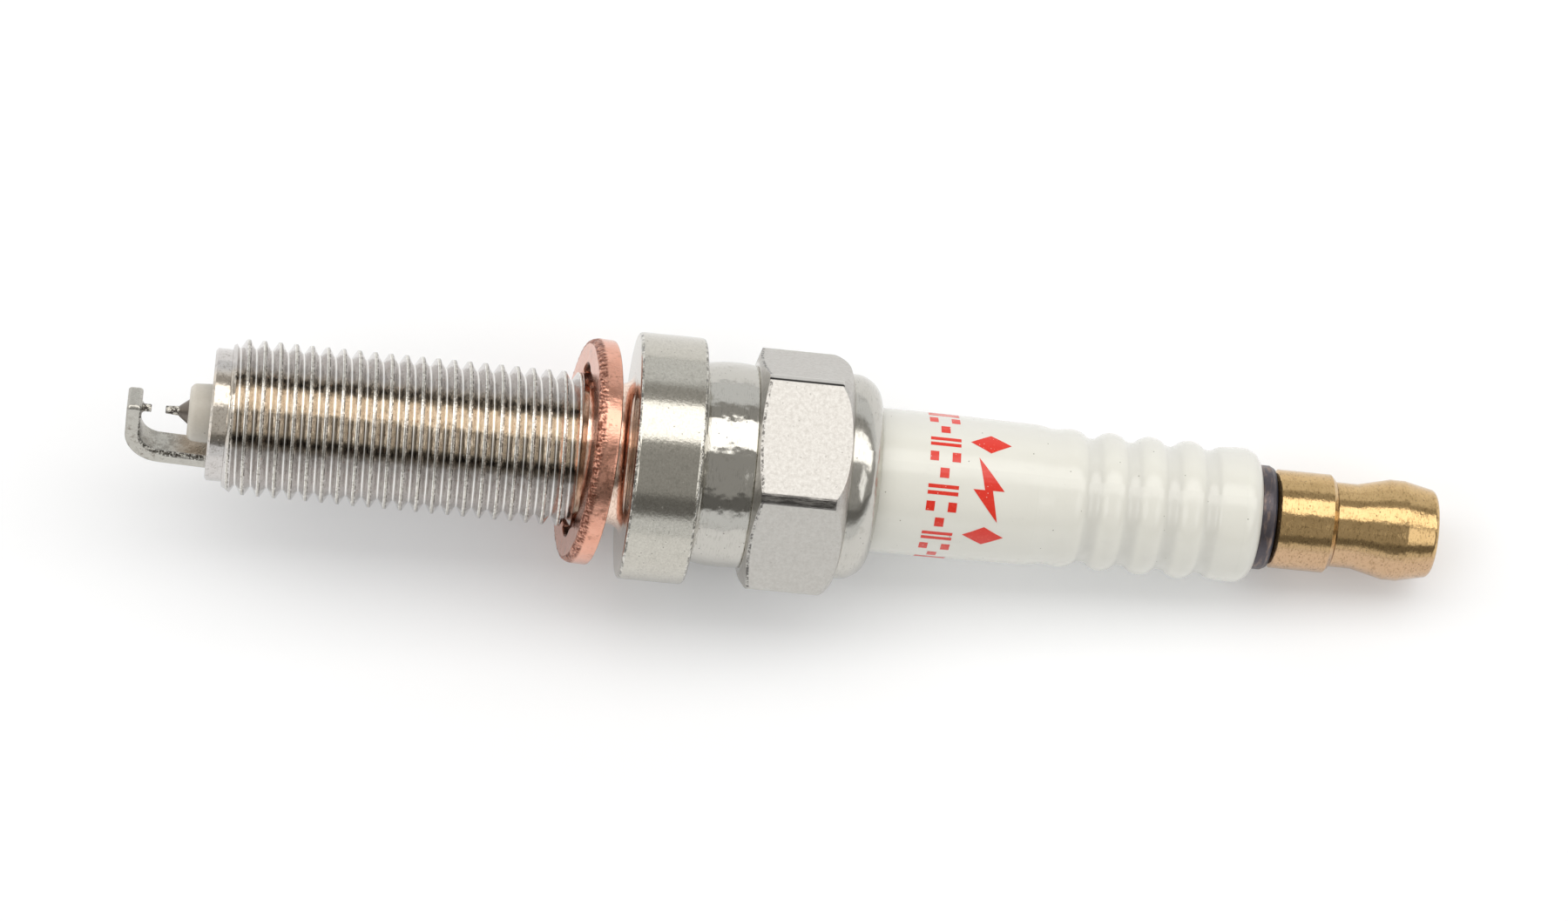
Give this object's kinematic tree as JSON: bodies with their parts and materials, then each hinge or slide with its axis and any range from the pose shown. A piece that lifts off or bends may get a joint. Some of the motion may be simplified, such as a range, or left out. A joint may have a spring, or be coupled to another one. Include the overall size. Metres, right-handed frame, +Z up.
{
  "type": "spark plug",
  "caption": "Long-reach motorcycle spark plug with a threaded nickel-plated shell, fine-wire electrodes, a loose copper gasket, a ribbed white insulator and a brass terminal nut.",
  "frame": {"origin": "on the plug's axis, in the plane of the flange face that the gasket seals against", "axes": "+X along the plug's axis from the firing end towards the terminal, +Z up through a hexagon flat, with the plug lying on its side"},
  "size_m": [0.0838, 0.0158, 0.0158],
  "materials": {
    "nickel_plate": "satin nickel plate on steel",
    "packing_steel": "plain",
    "copper": "matte copper",
    "glazed_alumina": "clear glaze on white alumina",
    "electrode_nickel": "drawn nickel alloy, slightly browned by the weld",
    "iridium": "bright wire",
    "seal_glass": "conductive copper glass",
    "resistor_body": "carbon glass",
    "stud_steel": "blackened by the furnace",
    "brass": "turned, slightly dulled",
    "talc": "pressed powder"
  },
  "bodies": {
    "plug": {"metal_shell": "nickel_plate", "ground_electrode": "electrode_nickel", "ground_tip": "iridium", "insulator": "glazed_alumina", "centre_electrode": "electrode_nickel", "electrode_core": "copper", "centre_tip": "iridium", "lower_glass_seal": "seal_glass", "resistor": "resistor_body", "upper_glass_seal": "seal_glass", "terminal_stud": "stud_steel", "seat_packing": "packing_steel", "lower_wire_ring": "packing_steel", "talc_ring": "talc", "upper_wire_ring": "packing_steel"},
    "gasket": {"gasket": "copper"},
    "terminal_nut": {"terminal_nut": "brass"}
  },
  "joints": [
    {"name": "gasket_float", "type": "slide", "parent": "plug", "child": "gasket", "axis": [1, 0, 0], "range_m": [-0.0003, 0.0008]},
    {"name": "terminal_nut_off", "type": "slide", "parent": "plug", "child": "terminal_nut", "axis": [1, 0, 0], "range_m": [0, 0.008]}
  ]
}
